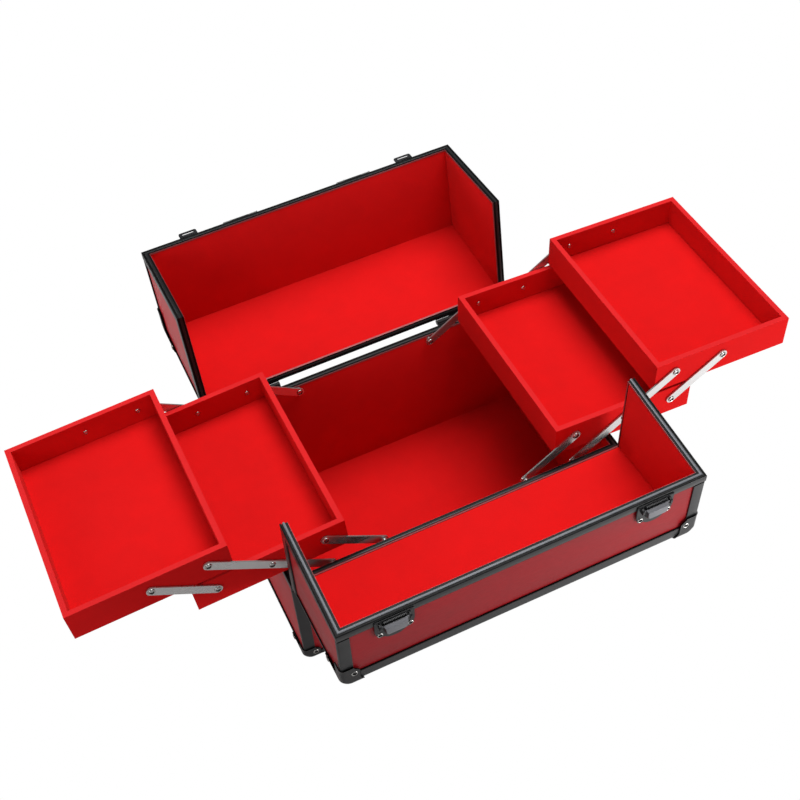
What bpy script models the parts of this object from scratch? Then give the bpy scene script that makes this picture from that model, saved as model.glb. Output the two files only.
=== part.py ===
"""Makeup train case, standing open: a framed box, two half lids that hinge outwards, and four
trays that swing out to the left and right on parallel arms.

X runs along the case, Y from front to back, Z up. The origin is the middle of the case's base.
Dimensions are in millimetres and meshes are written in metres.
"""

import math

import bmesh
import bpy
from mathutils import Vector

MM = 0.001

# The case
CASE_LENGTH = 365.0
CASE_DEPTH = 245.0
BODY_HEIGHT = 155.5
BODY_TAPER = 9.0  # how far each long wall leans in at the foot
FRONT_DEPTH = 115.0  # the front lid's share of the case's depth
BACK_DEPTH = CASE_DEPTH - FRONT_DEPTH
LID_HEIGHT = 125.5
LID_LEAN = 18.0  # how far a lid's outer wall leans in at its top
HALF_LENGTH = CASE_LENGTH / 2
HALF_DEPTH = CASE_DEPTH / 2

# Boards, frame sections and the gaps between them
GAP = 0.3
BOARD = 5.0
BOARD_INSET = 1.5
BOARD_INNER = BOARD_INSET + BOARD
FLANGE = 1.2
RIM_WIDTH = 7.8
RIM_WEB = 1.5
RIM_SKIRT = 12.0
RIM_LINER = 2.6
EDGE_FLANGE = 11.0
EDGE_RADIUS = 6.0
EDGE_CHAMFER = 4.5
LID_EDGE_FLANGE = 24.0
LID_EDGE_RADIUS = 10.0
LID_EDGE_CHAMFER = 7.0
ARC_STEPS = 4
POST_WIDTH = 12.0
POST_RETURN = 4.0
CAP_ALONG = 21.0  # a corner cap's reach along the long side
CAP_DEEP = 40.0  # and along the end's outer edge
CAP_STRIP = 10.5  # how wide that strip is
CAP_NARROW = 12.4
BODY_CAP_RISE = 23.0
LID_CAP_RISE = 39.0
BASE_LIFT = FLANGE + GAP  # the corner caps carry the case

# Hinges
HINGE_OUT = 4.0  # axis, out from the frame's face
HINGE_RISE = 0.2  # axis, above the body's rim
HINGE_X = 118.0
HINGE_WIDTH = 46.0
LEAF = 1.2
LEAF_HEIGHT = 11.5
BARREL_RADIUS = 2.6
PIN_RADIUS = 1.1
PIN_BORE = 1.5
LID_OPEN = 94.6
LID_BASE = HINGE_RISE  # a closed lid's lower edge, above the axis

# Trays
TRAY_LENGTH = 157.4
TRAY_DEPTH = 217.6
TRAY_HEIGHT = 36.0
TRAY_WALL = 5.5
TRAY_FLOOR = 4.0
TRAY_PIVOT_HEIGHT = 21.0
FIRST_PIVOT = 22.5  # from a tray's inner end
PIVOT_STEP = 55.7
TRAY_DROOP = math.radians(2.6)  # the trays' outer ends hang a little low

# Arms: the step from one pivot to the next with the trays out, along and up from the trays
ARM_RUN = 56.0
ARM_RISE = 39.4
ARM_WIDTH = 10.0
ARM_THICKNESS = 1.5
ARM_GAP = 0.5
ARM_END_STEPS = 8
BODY_PIVOT_X = 134.6  # the long arm's
BODY_PIVOT_Z = 147.0
ARM_REACH = math.hypot(ARM_RUN, ARM_RISE)
ARM_TILT = math.atan2(ARM_RISE, ARM_RUN)

# Rivets
RIVET_SIDES = 12
RIVET_HEAD = 3.6
RIVET_HEAD_HEIGHT = 1.1
RIVET_SHANK = 1.9
RIVET_BORE = 2.35
SPACER_RADIUS = 3.0
STUB_DEPTH = 3.2

# Latches, strikes and handle
LATCH_X = 129.0
STRIKE_X = 128.0
LEVER_LENGTH = 20.0
LEVER_WIDTH = 26.0
LEVER_HEIGHT = 5.6
LEVER_AXIS_IN = 9.5  # from the seam
LEVER_AXIS_UP = 3.3
LUG_THICKNESS = 2.0
BRACKET_X = 67.5
EAR_SPACING = 30.6
EAR_WIDTH = 9.0
HANDLE_AXIS_IN = 9.0
HANDLE_AXIS_UP = 6.0
HANDLE_BOSS = 4.2
HANDLE_DROP = 40.0
HANDLE_BEND = 15.0
HANDLE_RADIUS = 4.0

FINISHES = {
    "laminate": ((0.27, 0.035, 0.045), 0.38, 0.0),
    "flocking": ((0.62, 0.008, 0.010), 0.95, 0.0),
    "black frame": ((0.02, 0.02, 0.022), 0.35, 1.0),
    "corner metal": ((0.045, 0.045, 0.05), 0.4, 1.0),
    "bright steel": ((0.72, 0.71, 0.70), 0.25, 1.0),
    "latch metal": ((0.10, 0.10, 0.105), 0.35, 1.0),
    "lever metal": ((0.30, 0.30, 0.31), 0.35, 1.0),
    "grey zinc": ((0.42, 0.43, 0.42), 0.4, 1.0),
    "handle plastic": ((0.012, 0.012, 0.013), 0.5, 0.0),
}

for old in list(bpy.data.objects):
    bpy.data.objects.remove(old)

parts = bpy.data.collections.new("makeup_train_case")
bpy.context.scene.collection.children.link(parts)


# Meshes -------------------------------------------------------------------------------------

def box(low, high):
    """A block between two corners."""
    block = bmesh.new()
    bmesh.ops.create_cube(block, size=1.0)
    low, high = Vector(low), Vector(high)
    for vert in block.verts:
        vert.co = [low[i] + (vert.co[i] + 0.5) * (high[i] - low[i]) for i in range(3)]
    return block


def faced_out(block):
    """The same body with its faces pointing outwards."""
    bmesh.ops.recalc_face_normals(block, faces=block.faces)
    if block.calc_volume(signed=True) < 0:
        bmesh.ops.reverse_faces(block, faces=block.faces)
    return block


def prism(outline, place):
    """An outline's face, extruded: place(point, end) puts each point at end 0 and end 1."""
    block = bmesh.new()
    face = block.faces.new([block.verts.new(place(point, 0)) for point in outline])
    grown = bmesh.ops.extrude_face_region(block, geom=[face])["geom"]
    far = [item for item in grown if isinstance(item, bmesh.types.BMVert)]
    shift = Vector(place(outline[0], 1)) - Vector(place(outline[0], 0))
    bmesh.ops.translate(block, verts=far, vec=shift)
    return faced_out(block)


def swept_frame(profile, corners):
    """A profile carried round a closed run of mitred corners: each corner places a point."""
    block = bmesh.new()
    rings = [[block.verts.new(corner(*point)) for point in profile] for corner in corners]
    count = len(profile)
    for ring, following in zip(rings, rings[1:] + rings[:1]):
        for i in range(count):
            j = (i + 1) % count
            block.faces.new((ring[i], ring[j], following[j], following[i]))
    return faced_out(block)


def cylinder(centre, axis, radius, low, high, sides=RIVET_SIDES):
    """A round bar along X or Y between two places on that axis."""
    block = bmesh.new()
    bmesh.ops.create_cone(block, cap_ends=True, segments=sides, radius1=radius, radius2=radius,
                          depth=1.0)
    for vert in block.verts:
        across, up, along = vert.co
        run = low + (along + 0.5) * (high - low)
        if axis == "X":
            vert.co = (run, centre[0] + across, centre[1] + up)
        else:
            vert.co = (centre[0] + across, run, centre[1] + up)
    return faced_out(block)


def scratch_object(block):
    mesh = bpy.data.meshes.new("scratch")
    block.to_mesh(mesh)
    block.free()
    made = bpy.data.objects.new("scratch", mesh)
    bpy.context.scene.collection.objects.link(made)
    return made


def carve(base, tools, operation):
    """The base with each tool united with it or cut out of it."""
    made = scratch_object(base)
    used = [scratch_object(tool) for tool in tools]
    for tool in used:
        step = made.modifiers.new(operation, "BOOLEAN")
        step.operation = operation
        step.solver = "EXACT"
        step.object = tool
    graph = bpy.context.evaluated_depsgraph_get()
    mesh = bpy.data.meshes.new_from_object(made.evaluated_get(graph))
    result = bmesh.new()
    result.from_mesh(mesh)
    bmesh.ops.remove_doubles(result, verts=result.verts, dist=0.002)
    for item in [made] + used:
        bpy.data.objects.remove(item)
    return result


def united(base, *others):
    return carve(base, others, "UNION")


def cut(base, *tools):
    return carve(base, tools, "DIFFERENCE")


def finish_material(name, kind):
    colour, roughness, metallic = FINISHES[kind]
    made = bpy.data.materials.new(name)
    made.use_nodes = True
    shader = made.node_tree.nodes["Principled BSDF"]
    shader.inputs["Base Color"].default_value = (*colour, 1.0)
    shader.inputs["Roughness"].default_value = roughness
    shader.inputs["Metallic"].default_value = metallic
    return made


def part(name, block, kind, parent=None, shape=None):
    """Make a node: shape moves each point, parent carries it."""
    for vert in block.verts:
        point = shape(vert.co) if shape else vert.co
        vert.co = Vector(point) * MM
    faced_out(block)
    mesh = bpy.data.meshes.new(name)
    block.to_mesh(mesh)
    block.free()
    mesh.materials.append(finish_material(name, kind))
    mesh.shade_smooth()
    mesh.set_sharp_from_angle(angle=math.radians(30))
    made = bpy.data.objects.new(name, mesh)
    parts.objects.link(made)
    made.parent = parent
    return made


def pivot(name, place, turn=(0.0, 0.0, 0.0), parent=None):
    """An empty on a joint's axis."""
    made = bpy.data.objects.new(name, None)
    made.empty_display_size = 0.02
    made.location = Vector(place) * MM
    made.rotation_euler = turn
    parts.objects.link(made)
    made.parent = parent
    return made


# Profiles -----------------------------------------------------------------------------------

# A rim's section: (inwards from the frame's face, away from the board's edge)
RIM_PROFILE = [
    (0, 0), (RIM_WIDTH, 0), (RIM_WIDTH, RIM_LINER), (RIM_WIDTH - 1.0, RIM_LINER),
    (RIM_WIDTH - 1.0, RIM_WEB), (FLANGE, RIM_WEB), (FLANGE, RIM_SKIRT), (0, RIM_SKIRT),
]


def edge_profile(radius, flange, chamfer):
    """A closed edge's section, rounded outside: the same distances, from the two faces."""
    arc = []
    for i in range(ARC_STEPS + 1):
        angle = math.pi / 2 * i / ARC_STEPS
        arc.append((radius * (1 - math.cos(angle)), radius * (1 - math.sin(angle))))
    inner = [(flange, 0), (flange, FLANGE), (chamfer, FLANGE), (FLANGE, chamfer),
             (FLANGE, flange), (0, flange)]
    return arc + inner


# Body ---------------------------------------------------------------------------------------

def body_shape(point):
    """The long walls lean in towards the foot."""
    x, y, z = point
    return (x, y * (1 - BODY_TAPER / HALF_DEPTH * (1 - z / BODY_HEIGHT)), z)


def linkage(side, along, up):
    """A place (x, z) in the drooping trays' directions, from the long arm's body pivot."""
    cosine, sine = math.cos(TRAY_DROOP), math.sin(TRAY_DROOP)
    x = BODY_PIVOT_X + along * cosine + up * sine
    return (side * x, BODY_PIVOT_Z - along * sine + up * cosine)


def body_pivots():
    """The four arm pivots along a long wall."""
    return [linkage(side, along, 0.0) for side in (-1, 1) for along in (0.0, -PIVOT_STEP)]


def build_body():
    board_x = HALF_LENGTH - BOARD_INSET
    board_y = HALF_DEPTH - BOARD_INSET
    floor_low = BASE_LIFT + BOARD_INSET
    wall_low = floor_low + BOARD + GAP
    wall_high = BODY_HEIGHT - RIM_WEB - GAP
    inset = EDGE_CHAMFER + GAP
    part("body_floor_panel",
         box((inset - HALF_LENGTH, inset - HALF_DEPTH, floor_low),
             (HALF_LENGTH - inset, HALF_DEPTH - inset, floor_low + BOARD)),
         "laminate", shape=body_shape)
    for name, side in (("left", -1), ("right", 1)):
        inner = side * (board_x - BOARD)
        outer = side * board_x
        part(f"body_{name}_panel",
             box((min(inner, outer), -board_y, wall_low), (max(inner, outer), board_y, wall_high)),
             "laminate", shape=body_shape)
    wall_x = board_x - BOARD - GAP
    for name, side in (("front", -1), ("back", 1)):
        inner = side * (board_y - BOARD)
        outer = side * board_y
        wall = box((-wall_x, min(inner, outer), wall_low), (wall_x, max(inner, outer), wall_high))
        depth = sorted((side * (board_y - 1.0), side * (board_y - BOARD - 1.0)))
        bores = [cylinder(place, "Y", RIVET_BORE, *depth) for place in body_pivots()]
        part(f"body_{name}_panel", cut(wall, *bores), "laminate", shape=body_shape)

    def rim_corner(sx, sy):
        return lambda o, h: (sx * (HALF_LENGTH - o), sy * (HALF_DEPTH - o), BODY_HEIGHT - h)

    def foot_corner(sx, sy):
        return lambda o, h: (sx * (HALF_LENGTH - o), sy * (HALF_DEPTH - o), BASE_LIFT + h)

    turns = ((-1, -1), (1, -1), (1, 1), (-1, 1))
    part("body_top_rim", swept_frame(RIM_PROFILE, [rim_corner(*turn) for turn in turns]),
         "black frame", shape=body_shape)
    section = edge_profile(EDGE_RADIUS, EDGE_FLANGE, EDGE_CHAMFER)
    foot = swept_frame(section, [foot_corner(*turn) for turn in turns])
    posts = []
    post_low = BASE_LIFT + EDGE_FLANGE - 2
    post_high = BODY_HEIGHT - RIM_SKIRT - GAP
    outline = angle_outline()
    for sx, sy in turns:
        posts.append(prism(outline, lambda p, end, sx=sx, sy=sy: (
            sx * (HALF_LENGTH - p[0]), sy * (HALF_DEPTH - p[1]), (post_low, post_high)[end])))
    part("body_edge_frame", united(foot, *posts), "black frame", shape=body_shape)
    for sx, sy in turns:
        name = "body_corner_cap_" + ("front" if sy < 0 else "back")
        name += "_left" if sx < 0 else "_right"
        part(name, corner_cap(lambda o, p, h, sx=sx, sy=sy: (
            sx * (HALF_LENGTH - o), sy * (HALF_DEPTH - p), BASE_LIFT + h), BODY_CAP_RISE),
            "corner metal", shape=body_shape)


def angle_outline():
    """A corner post's section: a wide flange on the long face and a narrow one on the end."""
    return [(0, 0), (POST_WIDTH, 0), (POST_WIDTH, FLANGE), (FLANGE, FLANGE),
            (FLANGE, POST_RETURN), (0, POST_RETURN)]


def corner_cap(place, rise):
    """Three thin plates round a corner, with a long strip on the end face; place takes the
    distance inwards from each face."""
    outer = -(GAP + FLANGE)
    block = united(box((outer, outer, outer), (CAP_ALONG, CAP_NARROW, rise)),
                   box((outer, outer, outer), (CAP_ALONG, CAP_DEEP, CAP_STRIP)))
    clear = CAP_DEEP + 5
    cap = cut(block, box((-GAP, -GAP, -GAP), (clear, clear, clear)))
    for vert in cap.verts:
        vert.co = place(*vert.co)
    return faced_out(cap)


# Lids ---------------------------------------------------------------------------------------

def leaning(depth):
    """A lid's shape: from (x, in from the outer wall, up) to the hinge's own axes."""
    def shape(point):
        x, inwards, up = point
        lean = LID_LEAN * up / LID_HEIGHT * (1 - inwards / depth)
        return (x, HINGE_OUT + inwards + lean, LID_BASE + up)
    return shape


def build_lid(name, depth, hinge, facing):
    """facing is +1 where the hinge's own X is the world's, and -1 where it is turned about."""
    lid_shape = leaning(depth)
    seam = depth - GAP
    panel_edge = LID_EDGE_CHAMFER + GAP
    ends = {"left": -facing, "right": facing}
    end_x = HALF_LENGTH - BOARD_INSET
    low = RIM_WEB + GAP
    top = LID_HEIGHT - BOARD_INSET
    for end, side in ends.items():
        x = sorted((side * end_x, side * (end_x - BOARD)))
        part(f"{name}_lid_{end}_panel",
             box((x[0], BOARD_INNER + GAP, low), (x[1], seam - low, top - BOARD - GAP)),
             "laminate", hinge, lid_shape)
    part(f"{name}_lid_outer_panel",
         box((-end_x, BOARD_INSET, low), (end_x, BOARD_INNER, LID_HEIGHT - panel_edge)),
         "laminate", hinge, lid_shape)
    part(f"{name}_lid_top_panel",
         box((-end_x, panel_edge, top - BOARD), (end_x, seam - low, top)),
         "laminate", hinge, lid_shape)

    def seam_corner(side):
        return lambda o, h: (side * (HALF_LENGTH - o), seam - h, LID_HEIGHT - o)

    def tip_corner(side):
        return lambda o, h: (side * (HALF_LENGTH - o), seam - h, h)

    def foot_corner(side):
        return lambda o, h: (side * (HALF_LENGTH - o), o, h)

    run = [seam_corner(-1), seam_corner(1), tip_corner(1), foot_corner(1), foot_corner(-1),
           tip_corner(-1)]
    part(f"{name}_lid_rim", swept_frame(RIM_PROFILE, run), "black frame", hinge, lid_shape)

    section = edge_profile(LID_EDGE_RADIUS, LID_EDGE_FLANGE, LID_EDGE_CHAMFER)
    edge = prism(section, lambda p, end: (
        (-HALF_LENGTH, HALF_LENGTH)[end], p[0], LID_HEIGHT - p[1]))
    legs = []
    for side in (-1, 1):
        legs.append(prism(angle_outline(), lambda p, end, side=side: (
            side * (HALF_LENGTH - p[0]), p[1],
            (RIM_SKIRT + GAP, LID_HEIGHT - LID_EDGE_FLANGE + 2)[end])))
        legs.append(prism(angle_outline(), lambda p, end, side=side: (
            side * (HALF_LENGTH - p[0]), (LID_EDGE_FLANGE - 2, seam - RIM_SKIRT - GAP)[end],
            LID_HEIGHT - p[1])))
    part(f"{name}_lid_edge_frame", united(edge, *legs), "black frame", hinge, lid_shape)
    for end, side in ends.items():
        part(f"{name}_lid_corner_cap_{end}", corner_cap(lambda o, p, h, side=side: (
            side * (HALF_LENGTH - o), h, LID_HEIGHT - p), LID_CAP_RISE),
            "corner metal", hinge, lid_shape)


def hinge_leaf(x, lower, knuckles, with_pin):
    """A leaf flat on the frame's face, with its knuckles round the axis."""
    face = HINGE_OUT - GAP
    near, far = ((-LEAF_HEIGHT, -1.2), (1.2 + LID_BASE, LEAF_HEIGHT))[0 if lower else 1]
    plate = box((x - HINGE_WIDTH / 2, face - LEAF, near), (x + HINGE_WIDTH / 2, face, far))
    pieces = []
    for start, stop in knuckles:
        pieces.append(cylinder((0, 0), "X", BARREL_RADIUS, x + start, x + stop, 16))
        web = sorted((0.0, (near, far)[0 if not lower else 1] + (-1.5 if lower else 1.5)))
        pieces.append(box((x + start, face - LEAF, web[0]), (x + stop, face, web[1])))
    if with_pin:
        pieces.append(cylinder((0, 0), "X", PIN_RADIUS, x - HINGE_WIDTH / 2 + 1,
                               x + HINGE_WIDTH / 2 - 1, RIVET_SIDES))
        return united(plate, *pieces)
    bore = cylinder((0, 0), "X", PIN_BORE, x - HINGE_WIDTH, x + HINGE_WIDTH, RIVET_SIDES)
    return cut(united(plate, *pieces), bore)


def build_hinges(name, hinge, body_hinge, facing):
    third = HINGE_WIDTH / 6
    outer = [(-HINGE_WIDTH / 2, -third - GAP / 2), (third + GAP / 2, HINGE_WIDTH / 2)]
    inner = [(-third + GAP / 2, third - GAP / 2)]
    for end, side in (("left", -facing), ("right", facing)):
        x = side * HINGE_X
        part(f"{name}_hinge_{end}_body_leaf", hinge_leaf(x, True, outer, True), "black frame",
             body_hinge)
        part(f"{name}_hinge_{end}_lid_leaf", hinge_leaf(x, False, inner, False), "black frame",
             hinge)


def on_lid(depth, x, from_seam, height):
    """A place on a closed lid's top, in the hinge's own axes."""
    return (x, HINGE_OUT + depth - from_seam, LID_BASE + LID_HEIGHT + height)


def lid_box(depth, x0, x1, seam0, seam1, low, high):
    return box(on_lid(depth, x0, seam1, low), on_lid(depth, x1, seam0, high))


def latch_outline():
    """Half the plate: a straight shoulder, a wing for the rivet, and a round lobe."""
    lobe_radius = 12.5
    lobe_centre = 29.0
    half = [(19.0, 3.0), (19.0, 22.0), (15.5, 33.0), (lobe_radius, 33.5)]
    for i in range(1, 7):
        angle = math.pi / 2 * i / 6
        half.append((lobe_radius * math.cos(angle), lobe_centre + 4 + lobe_radius * 0.7
                     * math.sin(angle)))
    mirrored = [(-x, d) for x, d in reversed(half[:-1])]
    return half + mirrored


def build_latch(end, x, hinge):
    low, high = GAP, GAP + FLANGE
    plate = prism(latch_outline(), lambda p, i: on_lid(FRONT_DEPTH, x + p[0], p[1],
                                                         (low, high)[i]))
    slot = lid_box(FRONT_DEPTH, x - 11, x + 11, 4.4, 6.4, low - 1, high + 1)
    lug_x = LEVER_WIDTH / 2 + GAP
    axis = on_lid(FRONT_DEPTH, x, LEVER_AXIS_IN, LEVER_AXIS_UP)
    lugs = []
    for side in (-1, 1):
        span = sorted((x + side * lug_x, x + side * (lug_x + LUG_THICKNESS)))
        lugs.append(lid_box(FRONT_DEPTH, *span, LEVER_AXIS_IN - 2.2, LEVER_AXIS_IN + 2.2,
                            low + 0.5, LEVER_AXIS_UP + 2.2))
    bore = cylinder(axis[1:], "X", 1.3, x - 30, x + 30)
    part(f"latch_plate_{end}", cut(united(cut(plate, slot), *lugs), bore), "latch metal", hinge)

    pin = pivot(f"latch_lever_{end}_axis", axis, parent=hinge)
    half = LEVER_WIDTH / 2
    foot = high + GAP - LEVER_AXIS_UP
    crown = foot + LEVER_HEIGHT
    tail = -LEVER_LENGTH
    side_profile = [(0.0, foot), (1.05, -1.05), (1.5, 0.0), (1.5, 1.7), (-2.0, crown),
                    (tail + 3.5, crown), (tail, foot)]
    body = prism(side_profile, lambda p, i: ((-half, half)[i], p[0], p[1]))
    trim = []
    for side in (-1, 1):
        outline = [(side * (half - 3.0), crown + 1), (side * (half + 2.0), crown + 1),
                   (side * (half + 2.0), foot), (side * half, foot)]
        trim.append(prism(outline, lambda p, i: (p[0], (-3.0, tail - 2)[i], p[1])))
    stubs = cylinder((0, 0), "X", 0.95, -(lug_x + LUG_THICKNESS - 0.3),
                     lug_x + LUG_THICKNESS - 0.3)
    part(f"latch_lever_{end}", united(cut(body, *trim), stubs), "lever metal", pin)


def build_strike(end, x, hinge):
    foot = lid_box(BACK_DEPTH, x - 10, x + 10, 0.6, 15, GAP, GAP + FLANGE)
    tab = lid_box(BACK_DEPTH, x - 10, x + 10, 0.6, 0.6 + FLANGE, GAP, 8.6)
    slot = lid_box(BACK_DEPTH, x - 6.5, x + 6.5, 0, 4, 4.0, 6.6)
    part(f"strike_{end}", cut(united(foot, tab), slot), "grey zinc", hinge)


def build_handle(hinge):
    ear_high = HANDLE_AXIS_UP + 3.6
    for end, side in (("left", 1), ("right", -1)):  # the back lid's hinge is turned about
        x = side * BRACKET_X
        reach = EAR_SPACING / 2 + EAR_WIDTH / 2
        base = lid_box(BACK_DEPTH, x - reach, x + reach, 3.0, 19.0, GAP, GAP + FLANGE)
        ears = []
        for step in (-1, 1):
            middle = x + step * EAR_SPACING / 2
            ears.append(lid_box(BACK_DEPTH, middle - EAR_WIDTH / 2, middle + EAR_WIDTH / 2,
                                HANDLE_AXIS_IN - 4.6, HANDLE_AXIS_IN + 4.6, GAP + 0.5,
                                ear_high))
        axis = on_lid(BACK_DEPTH, 0, HANDLE_AXIS_IN, HANDLE_AXIS_UP)
        # stop the bores inside the ears, so that the stubs stay hidden
        bore = cylinder(axis[1:], "X", RIVET_BORE, x - reach + 2, x + reach - 2)
        part(f"handle_bracket_{end}", cut(united(base, *ears), bore), "grey zinc", hinge)

    # the handle hangs plumb from the open lid
    pin = pivot("carry_handle_axis", on_lid(BACK_DEPTH, 0, HANDLE_AXIS_IN, HANDLE_AXIS_UP),
                (math.radians(180 - LID_OPEN), 0.0, 0.0), hinge)
    points = []
    corner = BRACKET_X - HANDLE_BEND
    for i in range(ARC_STEPS + 1):
        angle = math.pi / 2 * i / ARC_STEPS
        points.append((corner + HANDLE_BEND * math.cos(angle),
                       HANDLE_DROP - HANDLE_BEND + HANDLE_BEND * math.sin(angle)))
    half = [(BRACKET_X, 0.0)] + points
    route = half + [(-x, drop) for x, drop in reversed(half)]
    bow = tube([(x, 0.0, drop) for x, drop in route], HANDLE_RADIUS)
    shapes = []
    for side in (-1, 1):
        wide = EAR_SPACING / 2 - EAR_WIDTH / 2 - GAP
        shapes.append(cylinder((0, 0), "X", HANDLE_BOSS, side * BRACKET_X - wide,
                               side * BRACKET_X + wide, 16))
        shapes.append(cylinder((0, 0), "X", RIVET_SHANK, side * BRACKET_X - wide - 6,
                               side * BRACKET_X + wide + 6))
    part("carry_handle", united(bow, *shapes), "handle plastic", pin)


def tube(points, radius):
    """A round bar along a route, from a bevelled curve made into a mesh."""
    curve = bpy.data.curves.new("scratch", "CURVE")
    curve.dimensions = "3D"
    curve.bevel_depth = radius
    curve.bevel_resolution = 3
    curve.use_fill_caps = True
    line = curve.splines.new("POLY")
    line.points.add(len(points) - 1)
    for knot, point in zip(line.points, points):
        knot.co = (*point, 1.0)
    made = bpy.data.objects.new("scratch", curve)
    bpy.context.scene.collection.objects.link(made)
    graph = bpy.context.evaluated_depsgraph_get()
    mesh = bpy.data.meshes.new_from_object(made.evaluated_get(graph))
    block = bmesh.new()
    block.from_mesh(mesh)
    bmesh.ops.remove_doubles(block, verts=block.verts, dist=0.01)
    bpy.data.objects.remove(made)
    return faced_out(block)


# Trays and arms -----------------------------------------------------------------------------

TRAY_FACE = TRAY_DEPTH / 2
ARM_INNER = TRAY_FACE + ARM_GAP
ARM_OUTER = ARM_INNER + ARM_THICKNESS


def tray_mesh(pivots):
    """A tray with its first pivot at the origin; pivots are the steps along it that are bored."""
    low = -TRAY_PIVOT_HEIGHT
    start = -FIRST_PIVOT
    shell = box((start, -TRAY_FACE, low), (start + TRAY_LENGTH, TRAY_FACE, low + TRAY_HEIGHT))
    hollow = box((start + TRAY_WALL, TRAY_WALL - TRAY_FACE, low + TRAY_FLOOR),
                 (start + TRAY_LENGTH - TRAY_WALL, TRAY_FACE - TRAY_WALL, low + TRAY_HEIGHT + 5))
    bores = [cylinder((step * PIVOT_STEP, 0), "Y", RIVET_BORE, -TRAY_FACE - 5, TRAY_FACE + 5)
             for step in pivots]
    return cut(shell, hollow, *bores)


def arm_mesh(stations, at_body):
    """An arm along X for the front face, its first pivot at the origin. Rivets join it to the
    trays behind it; at_body says that the first one goes out through a spacer to the wall."""
    radius = ARM_WIDTH / 2
    length = stations[-1] * ARM_REACH
    outline = []
    for middle, start in ((length, -90), (0.0, 90)):
        for i in range(ARM_END_STEPS + 1):
            angle = math.radians(start + 180 * i / ARM_END_STEPS)
            outline.append((middle + radius * math.cos(angle), radius * math.sin(angle)))
    plate = prism(outline, lambda p, end: (p[0], (-ARM_OUTER, -ARM_INNER)[end], p[1]))
    pieces = []
    for station in stations:
        x = station * ARM_REACH
        if at_body and station == 0:
            wall = (HALF_DEPTH - BOARD_INNER) * (
                1 - BODY_TAPER / HALF_DEPTH * (1 - BODY_PIVOT_Z / BODY_HEIGHT))
            pieces.append(cylinder((x, 0), "Y", SPACER_RADIUS, GAP - wall, 0.2 - ARM_OUTER))
            pieces.append(cylinder((x, 0), "Y", RIVET_SHANK, -wall - STUB_DEPTH, -ARM_INNER - 0.2))
            pieces.append(cylinder((x, 0), "Y", RIVET_HEAD, -ARM_INNER - 0.2,
                                   RIVET_HEAD_HEIGHT - ARM_INNER))
        else:
            inside = TRAY_WALL - TRAY_FACE + GAP
            pieces.append(cylinder((x, 0), "Y", RIVET_HEAD, -ARM_OUTER - RIVET_HEAD_HEIGHT,
                                   0.2 - ARM_OUTER))
            pieces.append(cylinder((x, 0), "Y", RIVET_SHANK, -ARM_INNER - 0.2,
                                   inside + RIVET_HEAD_HEIGHT - 0.2))
            pieces.append(cylinder((x, 0), "Y", RIVET_HEAD, inside, inside + RIVET_HEAD_HEIGHT))
    return united(plate, *pieces)


def placed(block, turned_over, mirrored):
    """Turn a front, right-hand mesh for the back face or the left-hand side."""
    for vert in block.verts:
        x, y, z = vert.co
        if turned_over:
            y, z = -y, -z
        if mirrored:
            x, z = -x, -z
        vert.co = (x, y, z)
    return faced_out(block)


def build_trays():
    for name, side in (("left", -1), ("right", 1)):
        tilt = (0.0, -side * (ARM_TILT - TRAY_DROOP), 0.0)
        droop = (0.0, side * TRAY_DROOP, 0.0)

        def axis(label, along, up, turn, name=name, side=side):
            x, z = linkage(side, along, up)
            return pivot(f"{name}_{label}_axis", (x, 0.0, z), turn)

        long_arms = axis("long_arms", 0.0, 0.0, tilt)
        inner_arms = axis("inner_arms", -PIVOT_STEP, 0.0, tilt)
        outer_arms = axis("outer_arms", ARM_RUN + PIVOT_STEP, ARM_RISE, tilt)
        lower = axis("lower_tray", ARM_RUN, ARM_RISE, droop)
        upper = axis("upper_tray", 2 * ARM_RUN, 2 * ARM_RISE, droop)
        kinds = (("long", long_arms, (0, 1, 2), True), ("inner", inner_arms, (0, 1), True),
                 ("outer", outer_arms, (0, 1), False))
        for kind, holder, stations, at_body in kinds:
            for face, turned in (("front", False), ("back", True)):
                part(f"{name}_{kind}_arm_{face}",
                     placed(arm_mesh(stations, at_body), turned, side < 0), "bright steel", holder)

        def lower_shape(point, side=side):
            return (side * (point[0] - PIVOT_STEP), point[1], point[2])

        def upper_shape(point, side=side):
            return (side * point[0], point[1], point[2])

        for tier, holder, pivots, shape in (("lower", lower, (0, 1, 2), lower_shape),
                                            ("upper", upper, (0, 1), upper_shape)):
            block = tray_mesh(pivots)
            for vert in block.verts:
                vert.co = shape(vert.co)
            part(f"{name}_{tier}_tray", faced_out(block), "flocking", holder)


# The case -----------------------------------------------------------------------------------

build_body()
axis_y = HALF_DEPTH + HINGE_OUT
axis_z = BODY_HEIGHT + HINGE_RISE
front_closed = pivot("front_lid_closed_axis", (0, -axis_y, axis_z))
back_closed = pivot("back_lid_closed_axis", (0, axis_y, axis_z), (0, 0, math.pi))
front_hinge = pivot("front_lid_axis", (0, -axis_y, axis_z), (math.radians(LID_OPEN), 0, 0))
back_hinge = pivot("back_lid_axis", (0, axis_y, axis_z), (math.radians(LID_OPEN), 0, math.pi))
build_lid("front", FRONT_DEPTH, front_hinge, 1)
build_lid("back", BACK_DEPTH, back_hinge, -1)
build_hinges("front", front_hinge, front_closed, 1)
build_hinges("back", back_hinge, back_closed, -1)
for latch_end, latch_side in (("left", -1), ("right", 1)):
    build_latch(latch_end, latch_side * LATCH_X, front_hinge)
    build_strike(latch_end, -latch_side * STRIKE_X, back_hinge)
build_handle(back_hinge)
build_trays()
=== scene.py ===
"""Looks for the makeup train case: its linings, trim, latches, arms and trays in full detail.

Lengths are in millimetres until piece() turns them into metres. X runs along the case, Y from
front to back, Z up. Lid parts are built in their hinge's own axes.
"""

import math

import bmesh
import bpy
from mathutils import Matrix, Vector


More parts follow.
